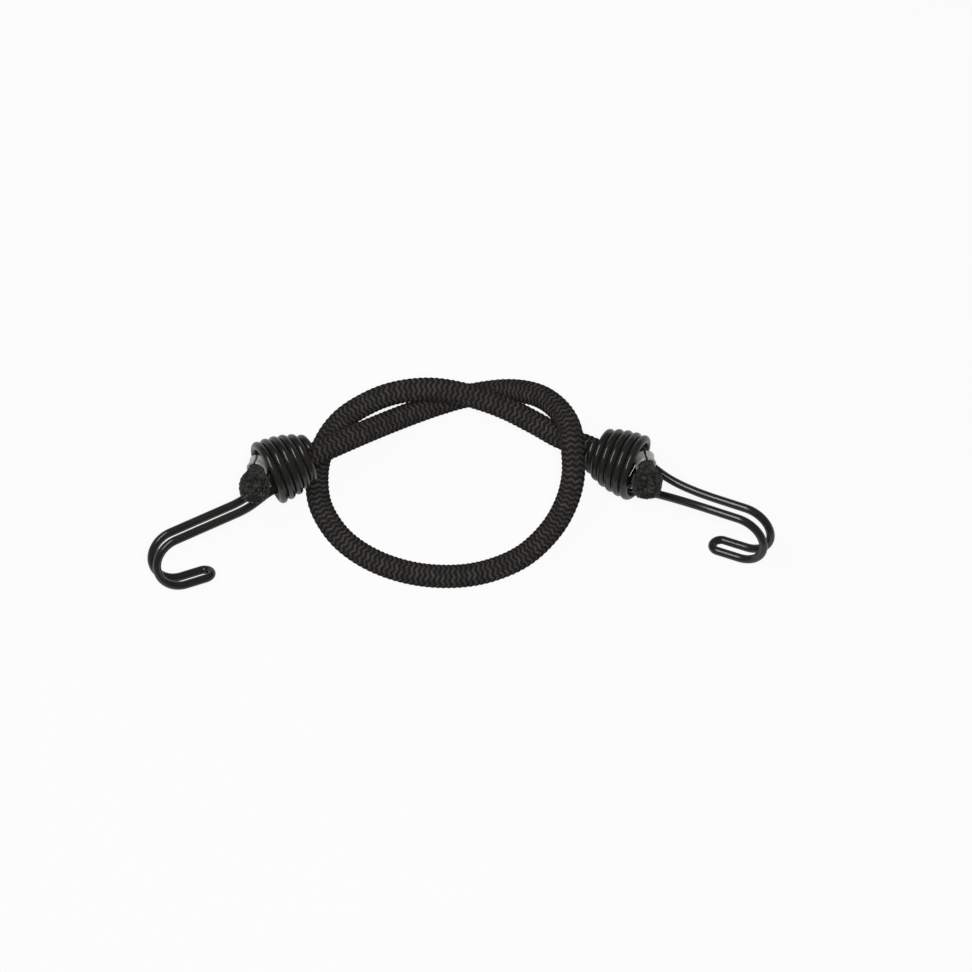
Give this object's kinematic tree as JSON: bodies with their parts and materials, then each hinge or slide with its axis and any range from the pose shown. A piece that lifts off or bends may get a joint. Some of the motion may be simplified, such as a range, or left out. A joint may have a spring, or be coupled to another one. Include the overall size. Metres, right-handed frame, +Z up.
{
  "type": "bungee cord",
  "caption": "Black braided elastic cord lying in a loose overhand loop, with a coiled double-wire hook clamped on each end for strapping down a load.",
  "frame": {"origin": "on the surface that the cord lies on, under the middle of the box round the two hooks and cord ends", "axes": "+X from the left hook to the right hook, +Y away from the hooks' tips in the plane of the floor, +Z up"},
  "size_m": [0.241, 0.0847, 0.032],
  "materials": {
    "braid": "matt black braid with fine grey flecks",
    "rubber": "matt black rubber strands",
    "coated_wire": "satin black coat on steel wire",
    "clamp_steel": "plain bright steel strip"
  },
  "bodies": {
    "cord": {"cord_sleeve": "braid", "cord_core": "rubber"},
    "left_cord_end": {"left_end_sleeve": "braid", "left_end_core": "rubber", "left_clamp_ring": "clamp_steel"},
    "left_hook_body": {"left_hook": "coated_wire"},
    "right_cord_end": {"right_end_sleeve": "braid", "right_end_core": "rubber", "right_clamp_ring": "clamp_steel"},
    "right_hook_body": {"right_hook": "coated_wire"}
  },
  "joints": [
    {"name": "left_stretch", "type": "slide", "parent": "cord", "child": "left_cord_end", "axis": [-0.8999, -0.4234, 0.1045], "range_m": [0, 0.06], "stiffness_N_per_m": 1000, "deforming": ["cord_sleeve", "cord_core"]},
    {"name": "left_hook_swivel", "type": "hinge", "parent": "left_cord_end", "child": "left_hook_body", "pos_m": [-0.07507, 0.01182, 0.0193], "axis": [-0.8999, -0.4234, 0.1045], "range_deg": [-75, 2]},
    {"name": "right_stretch", "type": "slide", "parent": "cord", "child": "right_cord_end", "axis": [0.8926, -0.4509, 0], "range_m": [0, 0.06], "stiffness_N_per_m": 1000, "deforming": ["cord_sleeve", "cord_core"]},
    {"name": "right_hook_swivel", "type": "hinge", "parent": "right_cord_end", "child": "right_hook_body", "pos_m": [0.06845, 0.01508, 0.01529], "axis": [0.879, -0.444, 0.1736], "range_deg": [-33, 16]}
  ]
}
